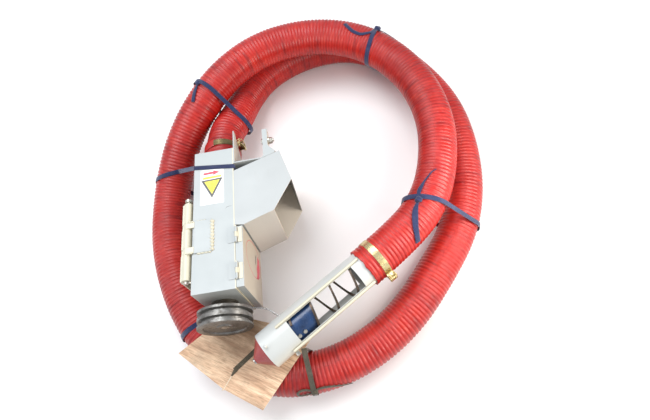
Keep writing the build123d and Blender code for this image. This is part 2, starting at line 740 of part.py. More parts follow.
# ---- packing board and its tie ------------------------------------------------------------------------
BOARD = [(-616, -638), (-445, -791), (-300, -884), (-76, -642), (-410, -516)]
BOARD_Z = (163.0, 167.0)
SLIT = [(-450, -795), (-440, -797), (-391, -731), (-396, -727)]
with BuildPart() as packing_board:
    with BuildSketch(Plane.XY.offset(BOARD_Z[0])):
        Polygon(*BOARD, align=None)
        Polygon(*SLIT, align=None, mode=Mode.SUBTRACT)
    extrude(amount=BOARD_Z[1] - BOARD_Z[0])
save(packing_board, "packing_board")

WIRE_ROUTE = [
    (-345, -514, 232), (-300, -516, 214), (-240, -527, 205), (-204, -562, 196),
    intake_point(0),
]
WIRE_END = INTAKE.from_local_coords((119, 53.4, -53.4))
WIRE_ROUTE[-1] = tuple(WIRE_END)
with BuildPart() as wire_tie:
    with BuildLine() as wire_line:
        FilletPolyline(*WIRE_ROUTE, radius=bend_radii(WIRE_ROUTE, 0.3))
    with BuildSketch(Plane(origin=wire_line.line @ 0, z_dir=wire_line.line % 0)):
        Circle(2.4)
    sweep()
save(wire_tie, "wire_tie")

BOARD_TIE = Plane(origin=(-352, -700, 167), x_dir=(0.82, 0.57, 0), z_dir=(0.57, -0.82, 0))
with BuildPart() as strap_nose:
    with BuildSketch(BOARD_TIE):
        with Locations((0, 0.7)):
            Rectangle(110, 1.2)
    extrude(amount=9, both=True)
save(strap_nose, "strap_nose")

low = [min(getattr(b.min, k) for b in boxes) for k in "XYZ"]
high = [max(getattr(b.max, k) for b in boxes) for k in "XYZ"]
print("overall", [round(v, 1) for v in low], [round(v, 1) for v in high])
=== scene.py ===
import bpy
import json
from math import cos, pi, radians, sin
from mathutils import Matrix, Vector, noise


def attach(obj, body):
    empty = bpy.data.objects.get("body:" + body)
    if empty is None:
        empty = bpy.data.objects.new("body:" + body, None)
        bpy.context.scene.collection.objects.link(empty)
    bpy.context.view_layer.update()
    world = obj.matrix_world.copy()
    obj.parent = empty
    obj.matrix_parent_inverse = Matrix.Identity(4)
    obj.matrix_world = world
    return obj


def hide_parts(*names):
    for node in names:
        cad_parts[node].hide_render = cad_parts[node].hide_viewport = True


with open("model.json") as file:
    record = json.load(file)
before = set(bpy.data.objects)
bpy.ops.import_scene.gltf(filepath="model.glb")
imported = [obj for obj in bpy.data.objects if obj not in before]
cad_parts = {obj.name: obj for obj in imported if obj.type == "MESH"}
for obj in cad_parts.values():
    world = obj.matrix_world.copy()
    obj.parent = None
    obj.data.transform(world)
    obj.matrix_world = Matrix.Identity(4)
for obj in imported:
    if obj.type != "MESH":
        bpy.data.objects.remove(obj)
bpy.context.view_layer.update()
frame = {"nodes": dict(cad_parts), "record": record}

# ---- frames, as in the CAD: the head's own axes, and the intake tube's ---------------------------
TILT = radians(6.75)
HX = Vector((1, 0, 0))
HY = Vector((0, cos(TILT), -sin(TILT)))
HZ = Vector((0, sin(TILT), cos(TILT)))
HEAD_O = Vector((-0.388, -0.4945, 0.2717))
REACH = Vector((0.8526, 0.5225, 0)).normalized()
LEFT = Vector((-REACH.y, REACH.x, 0))
UP = Vector((0, 0, 1))
INTAKE_O = Vector((-0.2505, -0.687, 0.240))


def head(x, y, z):
    """Millimetres in the head's frame to metres in the row's."""
    return HEAD_O + (HX * x + HY * y + HZ * z) / 1000


def intake(s, n, z):
    """Millimetres along, left of and above the intake tube's axis to metres in the row's frame."""
    return INTAKE_O + (REACH * s + LEFT * n + UP * z) / 1000


# ---- material helpers ----------------------------------------------------------------------------
def new_mat(name, rough=0.5, metal=0.0, coat=0.0, coat_rough=0.1, spec=0.5, sheen=0.0):
    mat = bpy.data.materials.new(name)
    mat.use_nodes = True
    nt = mat.node_tree
    b = nt.nodes["Principled BSDF"]
    b.inputs["Roughness"].default_value = rough
    b.inputs["Metallic"].default_value = metal
    b.inputs["Coat Weight"].default_value = coat
    b.inputs["Coat Roughness"].default_value = coat_rough
    b.inputs["Specular IOR Level"].default_value = spec
    b.inputs["Sheen Weight"].default_value = sheen
    return mat, nt, b


def node(nt, kind, operation=None):
    made = nt.nodes.new("ShaderNode" + kind)
    if operation:
        made.operation = operation
    return made


def noise_of(nt, scale, detail, rough=0.5, stretch=(1, 1, 1), turn=(0, 0, 0), coord="Object"):
    """Noise over the surface; it is turned first, and a large stretch makes it finer on that axis."""
    tc = node(nt, "TexCoord")
    mp = node(nt, "Mapping")
    mp.vector_type = "TEXTURE"
    mp.inputs["Scale"].default_value = [1 / v for v in stretch]
    mp.inputs["Rotation"].default_value = turn
    tex = node(nt, "TexNoise")
    tex.inputs["Scale"].default_value = scale
    tex.inputs["Detail"].default_value = detail
    tex.inputs["Roughness"].default_value = rough
    nt.links.new(tc.outputs[coord], mp.inputs["Vector"])
    nt.links.new(mp.outputs["Vector"], tex.inputs["Vector"])
    return tex.outputs["Fac"]


def ramp(nt, fac, *stops):
    r = node(nt, "ValToRGB")
    while len(r.color_ramp.elements) < len(stops):
        r.color_ramp.elements.new(0.5)
    for e, (pos, col) in zip(r.color_ramp.elements, stops):
        e.position = pos
        e.color = (*col, 1)
    nt.links.new(fac, r.inputs["Fac"])
    return r.outputs["Color"]


def grey(v):
    return (v, v, v)


def mix(nt, fac, a, b):
    """a where fac is 0, b where it is 1; each is a socket, a colour or a number."""
    m = node(nt, "Mix")
    m.data_type = "RGBA"
    for value, socket in ((fac, m.inputs[0]), (a, m.inputs[6]), (b, m.inputs[7])):
        if isinstance(value, (int, float)):
            socket.default_value = value
        elif isinstance(value, tuple):
            socket.default_value = (*value, 1)
        else:
            nt.links.new(value, socket)
    return m.outputs[2]


def patches(nt, pattern, low, high, most, under, over):
    """over laid on under: none of it where the pattern is below low, the share most above high."""
    return mix(nt, ramp(nt, pattern, (low, grey(0)), (high, grey(most))), under, over)


def uneven_gloss(nt, bsdf, pattern, low, high):
    """Roughness from low to high over the pattern."""
    nt.links.new(ramp(nt, pattern, (0.3, grey(low)), (0.8, grey(high))), bsdf.inputs["Roughness"])


def bump(nt, bsdf, height, strength, distance):
    b = node(nt, "Bump")
    b.inputs["Strength"].default_value = strength
    b.inputs["Distance"].default_value = distance
    nt.links.new(height, b.inputs["Height"])
    nt.links.new(b.outputs["Normal"], bsdf.inputs["Normal"])


def band(nt, value, low, high):
    """0 at low, 1 at high, and straight between."""
    r = node(nt, "MapRange")
    r.inputs["From Min"].default_value = low
    r.inputs["From Max"].default_value = high
    nt.links.new(value, r.inputs["Value"])
    return r.outputs["Result"]


def facing(nt, direction, low, high):
    """0 to 1 as the surface turns toward a direction of the object's own."""
    g = node(nt, "TexCoord")
    d = node(nt, "VectorMath", "DOT_PRODUCT")
    d.inputs[1].default_value = tuple(direction)
    nt.links.new(g.outputs["Normal"], d.inputs[0])
    return band(nt, d.outputs["Value"], low, high)


def point_from(nt, origin):
    """A surface point, measured from an origin."""
    tc = node(nt, "TexCoord")
    s = node(nt, "VectorMath", "SUBTRACT")
    s.inputs[1].default_value = tuple(origin)
    nt.links.new(tc.outputs["Object"], s.inputs[0])
    return s.outputs["Vector"]


def along(nt, origin, direction):
    """A surface point's distance along a direction, from an origin."""
    d = node(nt, "VectorMath", "DOT_PRODUCT")
    d.inputs[1].default_value = tuple(direction)
    nt.links.new(point_from(nt, origin), d.inputs[0])
    return d.outputs["Value"]


def from_axis(nt, origin, direction):
    """A surface point's distance from an axis."""
    c = node(nt, "VectorMath", "CROSS_PRODUCT")
    c.inputs[1].default_value = tuple(direction)
    n = node(nt, "VectorMath", "LENGTH")
    nt.links.new(point_from(nt, origin), c.inputs[0])
    nt.links.new(c.outputs["Vector"], n.inputs[0])
    return n.outputs["Value"]


def wave_of(nt, value, scale):
    m = node(nt, "Math", "MULTIPLY")
    m.inputs[1].default_value = scale
    s = node(nt, "Math", "SINE")
    nt.links.new(value, m.inputs[0])
    nt.links.new(m.outputs[0], s.inputs[0])
    return s.outputs[0]


# ---- materials -----------------------------------------------------------------------------------
GRIME = (0.30, 0.25, 0.18)
SHADED_WAY = (0.85, -0.25, -0.6)
# Heights above the head's axis, in metres, between which the chute's inside takes a painted light tone.
INSIDE_FROM, INSIDE_FULL = 0.130, 0.110


def paint(name, base, shade, dirt, rough=0.42, inside_light=None):
    """Painted sheet: base toward the light, the shade colour toward SHADED_WAY as painted shade, and a
    painted light tone on up-facing faces inside the chute, when given.
    """
    mat, nt, b = new_mat(name, rough=rough, coat=0.25, coat_rough=0.25)
    worn = tuple(c * 0.93 for c in base)
    body = patches(nt, noise_of(nt, 5.0, 5), 0.35, 0.75, 1, base, worn)
    # Painted shade: faces turned toward SHADED_WAY take the shade colour.
    body = mix(nt, facing(nt, SHADED_WAY, -0.1, 0.85), body, shade)
    # Painted light: up-facing faces deep inside the chute are lightened, standing in for light that enters
    # the mouth.
    if inside_light is not None:
        depth = band(nt, along(nt, HEAD_O, HZ), INSIDE_FROM, INSIDE_FULL)
        body = mix(nt, mix(nt, facing(nt, HZ, 0.4, 0.9), grey(0.0), depth), body, inside_light)
    streak = noise_of(nt, 40, 6, 0.62, stretch=(1, 0.22, 1))
    body = patches(nt, streak, 0.58, 0.78, dirt * 0.5, body, GRIME)
    body = patches(nt, noise_of(nt, 230, 3, 0.6), 0.70, 0.76, dirt, body, GRIME)
    nt.links.new(body, b.inputs["Base Color"])
    uneven_gloss(nt, b, noise_of(nt, 14, 5), rough - 0.08, rough + 0.14)
    bump(nt, b, noise_of(nt, 650, 2), 0.10, 0.0006)
    return mat


def hose_material():
    """Red PVC; the UV noises run fine along the hose and broad round it."""
    mat, nt, b = new_mat("hose_pvc", rough=0.36, coat=0.16, coat_rough=0.2, spec=0.35)
    col = ramp(
        nt, noise_of(nt, 3.0, 5, 0.6),
        (0.30, (0.26, 0.006, 0.005)), (0.55, (0.43, 0.010, 0.006)), (0.80, (0.56, 0.022, 0.010)),
    )
    fine = noise_of(nt, 1.0, 6, 0.65, stretch=(560, 7, 1), coord="UV")
    col = patches(nt, fine, 0.50, 0.68, 0.30, col, (0.76, 0.085, 0.045))
    dark = noise_of(nt, 1.0, 5, 0.6, stretch=(300, 3, 1), coord="UV")
    col = patches(nt, dark, 0.52, 0.66, 0.62, col, (0.16, 0.004, 0.006))
    # Partly real dust, partly painted sheen: up-facing faces get pink patches that stand in for the sky's
    # reflection on the glossy PVC.
    dust_and_sheen = ramp(nt, noise_of(nt, 22, 6, 0.7), (0.35, grey(0.02)), (0.75, grey(0.34)))
    col = mix(nt, mix(nt, facing(nt, UP, 0.30, 1.0), grey(0.0), dust_and_sheen), col, (0.56, 0.12, 0.13))
    nt.links.new(col, b.inputs["Base Color"])
    uneven_gloss(nt, b, noise_of(nt, 30, 6, 0.7), 0.28, 0.52)
    wrinkle = noise_of(nt, 1.0, 5, 0.6, stretch=(700, 12, 1), coord="UV")
    bump(nt, b, wrinkle, 0.25, 0.0012)
    return mat


def metal(name, base, dark, rough, scale, metallic=0.9, lathe=None):
    """Metal with stains of this scale; lathe is the origin, axis and fineness of turning marks."""
    mat, nt, b = new_mat(name, rough=rough, metal=metallic)
    col = patches(nt, noise_of(nt, scale, 6, 0.65), 0.36, 0.72, 1, base, dark)
    nt.links.new(col, b.inputs["Base Color"])
    uneven_gloss(nt, b, noise_of(nt, scale * 2, 5), rough - 0.1, rough + 0.18)
    if lathe:
        origin, axis, fineness = lathe
        bump(nt, b, wave_of(nt, from_axis(nt, origin, axis), fineness), 0.25, 0.0004)
    else:
        bump(nt, b, noise_of(nt, scale * 9, 4), 0.25, 0.0006)
    return mat


def gloss_paint(name, base, dark, rough):
    mat, nt, b = new_mat(name, rough=rough, coat=0.5, coat_rough=0.15)
    col = patches(nt, noise_of(nt, 18, 6, 0.6), 0.35, 0.75, 1, base, dark)
    col = patches(nt, noise_of(nt, 190, 4, 0.6), 0.66, 0.74, 0.5, col, (0.35, 0.33, 0.30))
    nt.links.new(col, b.inputs["Base Color"])
    uneven_gloss(nt, b, noise_of(nt, 60, 5), rough - 0.08, rough + 0.2)
    bump(nt, b, noise_of(nt, 420, 3), 0.15, 0.0006)
    return mat


def webbing(name, base, dark, light):
    mat, nt, b = new_mat(name, rough=0.8, spec=0.25, sheen=0.4)
    col = patches(nt, noise_of(nt, 420, 3, 0.55), 0.38, 0.62, 1, dark, base)
    col = patches(nt, noise_of(nt, 30, 5), 0.5, 0.8, 0.5, col, light)
    nt.links.new(col, b.inputs["Base Color"])
    weave = node(nt, "TexWave")
    weave.inputs["Scale"].default_value = 260
    weave.inputs["Distortion"].default_value = 1.5
    nt.links.new(node(nt, "TexCoord").outputs["Object"], weave.inputs["Vector"])
    bump(nt, b, weave.outputs["Fac"], 0.5, 0.0006)
    return mat


def board_material():
    """Plywood: grain along one way, stains, a painted shadow under the pulley, and pale edges."""
    mat, nt, b = new_mat("board_wood", rough=0.62, spec=0.35)
    turn = (0, 0, radians(-31))
    grain = noise_of(nt, 5.0, 8, 0.68, stretch=(1.0, 10.0, 1.0), turn=turn)
    col = ramp(
        nt, grain,
        (0.28, (0.26, 0.155, 0.08)), (0.43, (0.62, 0.39, 0.25)), (0.56, (0.90, 0.64, 0.43)),
        (0.80, (0.98, 0.79, 0.59)),
    )
    lines = noise_of(nt, 26.0, 6, 0.7, stretch=(1.0, 12.0, 1.0), turn=turn)
    col = patches(nt, lines, 0.49, 0.68, 0.75, col, (0.30, 0.19, 0.12))
    col = patches(nt, noise_of(nt, 6.5, 4, 0.6), 0.50, 0.74, 0.55, col, (0.24, 0.17, 0.12))
    # Painted shadow: the board darkens toward the pulley, broken up by noise, where the head and pulley
    # shade it.
    pulley_shadow = band(nt, from_axis(nt, (-0.365, -0.610, 0), UP), 0.19, 0.05)
    shadow_mottle = ramp(nt, noise_of(nt, 16, 5, 0.6), (0.30, grey(0.25)), (0.70, grey(0.85)))
    col = mix(nt, mix(nt, pulley_shadow, grey(0.0), shadow_mottle), col, (0.27, 0.165, 0.095))
    col = mix(nt, facing(nt, UP, 0.2, 0.6), (0.74, 0.66, 0.48), col)
    nt.links.new(col, b.inputs["Base Color"])
    bump(nt, b, grain, 0.35, 0.0015)
    return mat


HEAD_PAINT = paint("head_paint", (0.45, 0.485, 0.49), (0.48, 0.415, 0.32), 0.16)
HOOD_PAINT = paint("hood_paint", (0.45, 0.475, 0.48), (0.64, 0.56, 0.45), 0.16, inside_light=(0.97, 0.88, 0.75))
CREAM = paint("cream_paint", (0.66, 0.63, 0.50), (0.64, 0.55, 0.38), 0.22)
TUBE_PAINT = paint("tube_paint", (0.60, 0.62, 0.61), (0.66, 0.60, 0.46), 0.2, 0.38)
HOSE = hose_material()
PULLEY = metal("pulley_iron", (0.27, 0.265, 0.255), (0.11, 0.10, 0.09), 0.40, 45, 0.85, (HEAD_O, HY, 4200.0))
BLACK = metal("black_iron", (0.035, 0.030, 0.022), (0.085, 0.065, 0.045), 0.5, 80, 0.4)
STEEL = metal("steel", (0.55, 0.54, 0.52), (0.36, 0.35, 0.33), 0.3, 70)
BOLT = metal("bolt_steel", (0.72, 0.70, 0.64), (0.44, 0.41, 0.34), 0.3, 160)
ZINC = metal("zinc_yellow", (0.86, 0.76, 0.42), (0.46, 0.33, 0.14), 0.26, 34)
OLD_ZINC = metal("zinc_olive", (0.30, 0.24, 0.12), (0.10, 0.075, 0.035), 0.34, 30)
SPIRAL = metal("spiral_steel", (0.13, 0.095, 0.07), (0.045, 0.035, 0.03), 0.42, 120, 0.7)
BRONZE = metal("bush_bronze", (0.60, 0.42, 0.18), (0.36, 0.22, 0.10), 0.35, 90)
WIRE = metal("tie_wire", (0.80, 0.81, 0.82), (0.50, 0.50, 0.50), 0.2, 200)
BLUE = gloss_paint("hub_blue", (0.010, 0.050, 0.16), (0.003, 0.012, 0.040), 0.3)
NOSE = gloss_paint("nose_red", (0.36, 0.018, 0.022), (0.24, 0.012, 0.016), 0.42)
NAVY = webbing("navy_webbing", (0.022, 0.035, 0.12), (0.008, 0.012, 0.045), (0.06, 0.07, 0.15))
OLIVE = webbing("olive_webbing", (0.12, 0.10, 0.065), (0.045, 0.036, 0.022), (0.20, 0.17, 0.12))
BOARD = board_material()
WHITE = gloss_paint("sticker_white", (0.88, 0.88, 0.87), (0.80, 0.80, 0.79), 0.35)
RED = gloss_paint("sticker_red", (0.70, 0.012, 0.05), (0.58, 0.010, 0.04), 0.35)
YELLOW = gloss_paint("sticker_yellow", (0.92, 0.80, 0.01), (0.84, 0.70, 0.01), 0.35)
DARK = gloss_paint("sticker_dark", (0.03, 0.03, 0.025), (0.015, 0.015, 0.015), 0.35)
PALE_WOOD = gloss_paint("pale_wood", (0.86, 0.76, 0.60), (0.74, 0.63, 0.47), 0.4)

SLOT_MATERIALS = {
    "head_paint": HEAD_PAINT, "cream_paint": CREAM, "hose_pvc": HOSE, "tube_paint": TUBE_PAINT,
    "pulley_iron": PULLEY, "black_iron": BLACK, "steel": STEEL, "bolt_steel": BOLT,
    "zinc_yellow": ZINC, "spiral_steel": SPIRAL, "hub_blue": BLUE, "nose_red": NOSE,
    "bush_bronze": BRONZE, "navy_webbing": NAVY, "olive_webbing": OLIVE, "tie_wire": WIRE,
    "board_wood": BOARD,
}
for part in frame["record"]["subparts"]:
    obj = frame["nodes"][part["node"]]
    obj.data.materials.clear()
    obj.data.materials.append(SLOT_MATERIALS[part["material_slot"]])
frame["nodes"]["head_clamp_band"].data.materials[0] = OLD_ZINC
frame["nodes"]["discharge_chute"].data.materials[0] = HOOD_PAINT
frame["nodes"]["casing_leaves"].data.materials[0] = HEAD_PAINT


# ---- mesh helpers --------------------------------------------------------------------------------
def piece(name, verts, faces, mat, body="frame", smooth=True, uv=None):
    mesh = bpy.data.meshes.new(name)
    mesh.from_pydata([tuple(v) for v in verts], [], faces)
    mesh.validate()
    if smooth:
        mesh.polygons.foreach_set("use_smooth", [True] * len(mesh.polygons))
    if uv is not None:
        layer = mesh.uv_layers.new(name="UVMap")
        for loop in mesh.loops:
            layer.data[loop.index].uv = uv[loop.vertex_index]
    mesh.materials.append(mat)
    obj = bpy.data.objects.new(name, mesh)
    bpy.context.scene.collection.objects.link(obj)
    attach(obj, body)
    return obj


def quads(rows, cols, closed=True):
    """Faces between rows of cols vertices each; closed joins each row's last vertex to its first."""
    faces = []
    for i in range(rows - 1):
        for k in range(cols if closed else cols - 1):
            j = (k + 1) % cols
            faces.append((i * cols + k, i * cols + j, (i + 1) * cols + j, (i + 1) * cols + k))
    return faces


def end_caps(rows, cols):
    return [tuple(reversed(range(cols))), tuple(range((rows - 1) * cols, rows * cols))]


def smooth_line(points):
    """Points along a NURBS curve with these control points."""
    curve = bpy.data.curves.new("route", "CURVE")
    curve.dimensions = "3D"
    curve.resolution_u = 16
    spline = curve.splines.new("NURBS")
    spline.points.add(len(points) - 1)
    for p, co in zip(spline.points, points):
        p.co = (*co, 1)
    spline.order_u = 3
    spline.use_endpoint_u = True
    holder = bpy.data.objects.new("route", curve)
    bpy.context.scene.collection.objects.link(holder)
    graph = bpy.context.evaluated_depsgraph_get()
    mesh = bpy.data.meshes.new_from_object(holder.evaluated_get(graph))
    line = [v.co.copy() for v in mesh.vertices]
    bpy.data.objects.remove(holder)
    bpy.data.meshes.remove(mesh)
    return line


def even(line, step):
    """The same line, with its points a fixed distance apart."""
    lengths = [(b - a).length for a, b in zip(line, line[1:])]
    total = sum(lengths)
    count = max(2, round(total / step))
    out, k, gone = [], 0, 0.0
    for i in range(count + 1):
        want = total * i / count
        while k < len(lengths) - 1 and gone + lengths[k] < want:
            gone += lengths[k]
            k += 1
        out.append(line[k].lerp(line[k + 1], (want - gone) / lengths[k]))
    return out


def tangent(line, i):
    return (line[min(i + 1, len(line) - 1)] - line[max(i - 1, 0)]).normalized()


def frames_along(line, first_side):
    """A point, a tangent, a side and an up vector at each place, without twist."""
    out, side = [], Vector(first_side)
    for i, p in enumerate(line):
        t = tangent(line, i)
        side = (side - t * side.dot(t)).normalized()
        out.append((p, t, side, t.cross(side)))
    return out


def tube(name, line, radius, mat, sides=12, first_side=(0.3, 0.2, 1), caps=True):
    """A tube along a line; radius is a number or a function of the point's index."""
    verts, uv = [], []
    size = radius if callable(radius) else (lambda i: radius)
    for i, (p, t, s, u) in enumerate(frames_along(line, first_side)):
        for k in range(sides):
            a = 2 * pi * k / sides
            verts.append(p + (s * cos(a) + u * sin(a)) * size(i))
            uv.append((i / len(line), k / sides))
    faces = quads(len(line), sides) + (end_caps(len(line), sides) if caps else [])
    return piece(name, verts, faces, mat, uv=uv)


# ---- hose ----------------------------------------------------------------------------------------
FLOOR = 0.0816
ROUTE = [
    head(0, 626, 0), head(0, 800, 0),
    (-0.328, 0.425, 0.134), (-0.278, 0.570, 0.093), (-0.183, 0.695, FLOOR), (-0.033, 0.775, FLOOR),
    (0.142, 0.811, FLOOR + 0.0005), (0.317, 0.790, FLOOR), (0.472, 0.685, FLOOR), (0.592, 0.520, FLOOR),
    (0.677, 0.320, FLOOR), (0.692, 0.105, FLOOR), (0.662, -0.110, FLOOR), (0.587, -0.295, FLOOR),
    (0.457, -0.455, FLOOR), (0.292, -0.625, FLOOR), (0.117, -0.730, FLOOR), (-0.058, -0.780, FLOOR),
    (-0.228, -0.780, FLOOR), (-0.388, -0.715, FLOOR), (-0.528, -0.595, FLOOR), (-0.628, -0.410, FLOOR),
    (-0.688, -0.175, FLOOR), (-0.683, 0.075, FLOOR), (-0.603, 0.275, 0.165), (-0.483, 0.435, 0.238),
    (-0.338, 0.585, 0.270), (-0.153, 0.705, 0.268), (0.062, 0.745, 0.255), (0.267, 0.695, 0.249),
    (0.427, 0.570, 0.247), (0.537, 0.380, 0.247), (0.572, 0.165, 0.247), (0.537, -0.035, 0.245),
    (0.462, -0.205, 0.243), intake(685, 0, 0), intake(475, 0, 0),
]
RIB = 0.0156
RIB_SHAPE = (0.0, -0.0003, -0.0014, -0.0036, -0.0014, -0.0003)
CREST_R = 0.0799
hose_line = even(smooth_line(ROUTE), RIB / len(RIB_SHAPE))


def hose_radius(i):
    return CREST_R + RIB_SHAPE[i % len(RIB_SHAPE)]


hose = tube("hose_ribbed", hose_line, hose_radius, HOSE, sides=44, caps=False)
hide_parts("hose")

# Radius and reach past the cut of the lip's section, from outside to just inside the bore.
LIP = [
    (0.0795, -0.002), (0.0798, 0.0), (0.0788, 0.0016), (0.0752, 0.0020), (0.0728, 0.0010), (0.0722, -0.012),
]
LIP_SIDES = 112
LIP_GAP = 0.0018


def hose_end(name, at, out, torn):
    """The hose's cut end: a thick lip, torn unevenly, with its bore just inside."""
    side = out.orthogonal().normalized()
    other = out.cross(side)
    verts = []
    for i, (r, x) in enumerate(LIP):
        for k in range(LIP_SIDES):
            a = 2 * pi * k / LIP_SIDES
            broad = noise.noise(Vector((cos(a), sin(a), 0.3)) * 3.1)
            narrow = noise.noise(Vector((cos(a), sin(a), 1.7)) * 9)
            rag = 0.5 + 0.5 * broad + 0.35 * narrow
            reach = x + (torn * max(0.0, rag) if 0 < i < 5 else 0.0)
            wide = r + (0.0008 * rag if 0 < i < 4 else 0.0)
            verts.append(at + out * reach + (side * cos(a) + other * sin(a)) * wide)
    return piece(name, verts, quads(len(LIP), LIP_SIDES), HOSE)


hose_end("hose_lip_intake", intake(475, 0, 0) + REACH * LIP_GAP, -REACH, 0.007)
hose_end("hose_lip_head", head(0, 626, 0) + HY * LIP_GAP, -HY, 0.003)

# ---- generic stickers: heights are in millimetres above the face ---------------------------------
FRONT_Z = 136
DOOR_X = 113
BOARD_Z = 166.6
THIN = 0.15
ON_FACE, ON_SHEET, ON_BORDER = 0.2, 0.36, 0.52


def sticker(name, outline, place, lift, mat, body="frame"):
    """A thin flat shape; place(a, b, height) puts its outline on a face."""
    n = len(outline)
    verts = [place(a, b, lift) for a, b in outline] + [place(a, b, lift - THIN) for a, b in outline]
    faces = [tuple(range(n)), tuple(reversed(range(n, 2 * n)))]
    faces += [(i, i + n, (i + 1) % n + n, (i + 1) % n) for i in range(n)]
    return piece(name, verts, faces, mat, body, smooth=False)


def on_front(a, b, h):
    return head(a, b, FRONT_Z + h)


def on_door(a, b, h):
    return head(DOOR_X + h, b, a)


def on_board(a, b, h):
    return Vector((a, b, BOARD_Z + h)) / 1000


ARROW = [(-41, 504), (0, 505), (0, 498), (26, 510), (0, 521), (0, 515), (-41, 514)]
sticker("label_sheet", [(-53, 361), (43, 361), (43, 524), (-53, 530)], on_front, ON_FACE, WHITE)
sticker("label_arrow", ARROW, on_front, ON_SHEET, RED)
sticker("label_strip", [(-43, 482), (33, 484), (33, 494), (-43, 492)], on_front, ON_SHEET, YELLOW)
sticker("label_border", [(-50, 477), (39, 480), (-5, 389)], on_front, ON_SHEET, DARK)
sticker("label_triangle", [(-37, 470), (26, 472), (-5, 408)], on_front, ON_BORDER, YELLOW)
sticker("paint_scratch", [(47, 331), (58, 337), (75, 339), (58, 338.4)], on_front, ON_FACE, DARK)

RING_AT, RING_R, RING_WIDTH = (-18, 165), (112, 72), 2.6
RING_STEPS = 36


def ring_point(turn, shrink):
    a = radians(turn)
    return (RING_AT[0] + (RING_R[0] - shrink) * cos(a), RING_AT[1] + (RING_R[1] - shrink) * sin(a))


turns = [10 * k for k in range(RING_STEPS + 1)]
ring = [ring_point(t, 0) for t in turns] + [ring_point(t, RING_WIDTH) for t in reversed(turns)]
ring_faces = [(i, i + 1, 2 * RING_STEPS - i, 2 * RING_STEPS + 1 - i) for i in range(RING_STEPS)]
ring_verts = [on_door(a, b, ON_FACE) for a, b in ring]
piece("door_ring", ring_verts, ring_faces, RED, "door", smooth=False)
DOOR_MARK = [(-52, 95), (-88, 105), (-112, 150), (-104, 196), (-80, 205), (-72, 170), (-58, 140), (-66, 120)]
DOOR_MARK_EDGE = [(-40, 150), (-46, 190), (-60, 205), (-56, 188), (-50, 165)]
sticker("door_mark", DOOR_MARK, on_door, ON_FACE, RED, body="door")
sticker("door_mark_edge", DOOR_MARK_EDGE, on_door, ON_FACE, DARK, body="door")

# The board's slit, filled nearly level and drawn as a pale line.
SLIT = [(-450, -795), (-440, -797), (-391, -731), (-396, -727)]
SLIT_LINE = [(-446.6, -795.4), (-443.6, -796.4), (-392.6, -729.8), (-394.4, -728.2)]
sticker("slit_fill", SLIT, on_board, 0.3, BOARD)
sticker("slit_line", SLIT_LINE, on_board, 0.7, PALE_WOOD)


# ---- weld beads ----------------------------------------------------------------------------------
def bead(name, a, b, radius):
    """A lumpy bead from a to b, thin at its two ends."""
    line = even([Vector(a), Vector(b)], 0.0011)
    lumps = [0.55 + 0.60 * abs(sin(i * 0.24)) + 0.25 * noise.noise(p * 120) for i, p in enumerate(line)]
    ends = (0, len(lumps) - 1)
    return tube(name, line, lambda i: radius * lumps[i] * (0.45 if i in ends else 1), CREAM, sides=10)


bead("weld_plate_right", head(-3.5, 160, 137.2), head(-3.5, 291, 137.2), 0.0075)
bead("weld_plate_top", head(-66, 293.5, 137), head(-30, 293.5, 137), 0.0035)
bead("weld_plate_low", head(-62, 157, 137), head(-8, 157, 137), 0.0038)
bead("weld_arm_low", head(-100, 160, 142.6), head(-76, 160, 142.6), 0.0034)
bead("weld_arm_high", head(-100, 291.5, 142.6), head(-76, 291.5, 142.6), 0.0034)
bead("weld_ear", head(91, 548, 40), head(91, 548, 130), 0.0034)
bead("weld_tab", intake(80, -72.5, 5), intake(91, -72.5, 5), 0.003)

# ---- ties: knots and loose ends ------------------------------------------------------------------
STEP = (hose_line[1] - hose_line[0]).length
HOSE_R = 0.0800
OFF_HOSE = 0.0016
NAVY_TIE = (NAVY, "navy_webbing")
OLIVE_TIE = (OLIVE, "olive_webbing")


def on_hose(s, angle, lift=OFF_HOSE):
    """A spot on the hose s metres along it, angle degrees from its top toward its left, and its normal."""
    i = min(max(round(s / STEP), 1), len(hose_line) - 2)
    t = tangent(hose_line, i)
    up = (UP - t * t.z).normalized()
    n = up * cos(radians(angle)) + up.cross(t) * sin(radians(angle))
    return hose_line[i] + n * (HOSE_R + lift), n


def through(values, steps):
    """Catmull-Rom through the values, with this many steps between each two."""
    out = []
    for i in range(len(values) - 1):
        a, b, c, d = (values[max(i - 1, 0)], values[i], values[i + 1], values[min(i + 2, len(values) - 1)])
        for k in range(steps):
            t = k / steps
            square = (a * 2 - b * 5 + c * 4 - d) * t**2
            cube = (b * 3 - a - c * 3 + d) * t**3
            out.append((b * 2 + (c - a) * t + square + cube) * 0.5)
    return out + [values[-1]]


STRIP_SECTION = [
    (-0.5, -0.35), (-0.5, 0.35), (-0.4, 1), (0.4, 1), (0.5, 0.35), (0.5, -0.35), (0.4, -1), (-0.4, -1),
]
STRIP_STEPS = 9


def strip(name, spots, widths, mat, slot, thick):
    """A flat strap through (point, normal) spots, as wide at each as widths say."""
    line = through([p for p, n in spots], STRIP_STEPS)
    normals = through([n for p, n in spots], STRIP_STEPS)
    wide = through([float(w) for w in widths], STRIP_STEPS)
    verts = []
    for i, p in enumerate(line):
        t = tangent(line, i)
        u = (normals[i] - t * normals[i].dot(t)).normalized()
        w = t.cross(u)
        for x, y in STRIP_SECTION:
            verts.append(p + w * (x * wide[i]) + u * (y * thick / 2))
    faces = quads(len(line), len(STRIP_SECTION)) + end_caps(len(line), len(STRIP_SECTION))
    return piece(name, verts, faces, mat)


